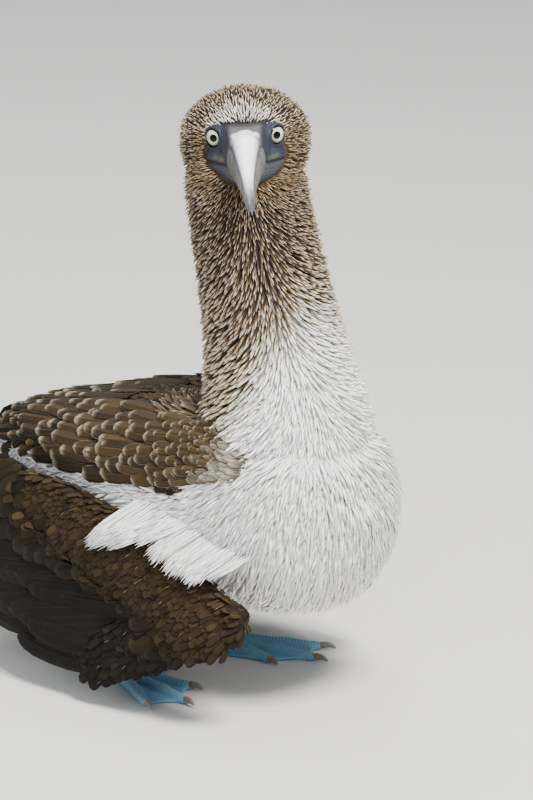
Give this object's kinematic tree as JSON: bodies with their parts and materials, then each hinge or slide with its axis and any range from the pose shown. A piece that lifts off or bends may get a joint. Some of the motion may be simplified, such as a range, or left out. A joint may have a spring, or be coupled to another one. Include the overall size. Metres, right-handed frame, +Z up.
{
  "type": "blue footed booby",
  "caption": "Life-size blue footed booby crouched over its feet, neck up, head turned to its right, wings let down at its sides.",
  "frame": {"origin": "on the floor under the middle of the whole length and width", "axes": "+Z up, the body faces -Y, the bird's left side is +X"},
  "size_m": [0.2262, 0.517, 0.4238],
  "materials": {
    "feathers_white": "soft white breast, belly and flank feathers",
    "feathers_streaked": "narrow brown feathers with cream tips",
    "feathers_mantle": "rounded olive brown feathers with pale edges",
    "feathers_wing": "dark sepia wing feathers with faint pale edges",
    "feathers_flight": "blackish brown flight and tail feathers",
    "bare_skin": "slate blue bare skin of the face",
    "bill_horn": "smooth blue grey horn with a soft gloss",
    "eye": "wet pale yellow iris round a black pupil",
    "foot_skin": "scaly bright blue skin of shank, toes and webs"
  },
  "bodies": {
    "root": {"head": "feathers_streaked", "face": "bare_skin", "bill_upper": "bill_horn", "bill_lower": "bill_horn", "eye_left": "eye", "eye_right": "eye", "neck": "feathers_streaked", "torso": "feathers_white", "tail": "feathers_flight", "scapulars_left": "feathers_mantle", "forearm_left": "feathers_wing", "hand_left": "feathers_flight", "thigh_left": "feathers_white", "shank_left": "foot_skin", "foot_left": "foot_skin", "scapulars_right": "feathers_mantle", "forearm_right": "feathers_wing", "hand_right": "feathers_flight", "thigh_right": "feathers_white", "shank_right": "foot_skin", "foot_right": "foot_skin"}
  },
  "joints": []
}
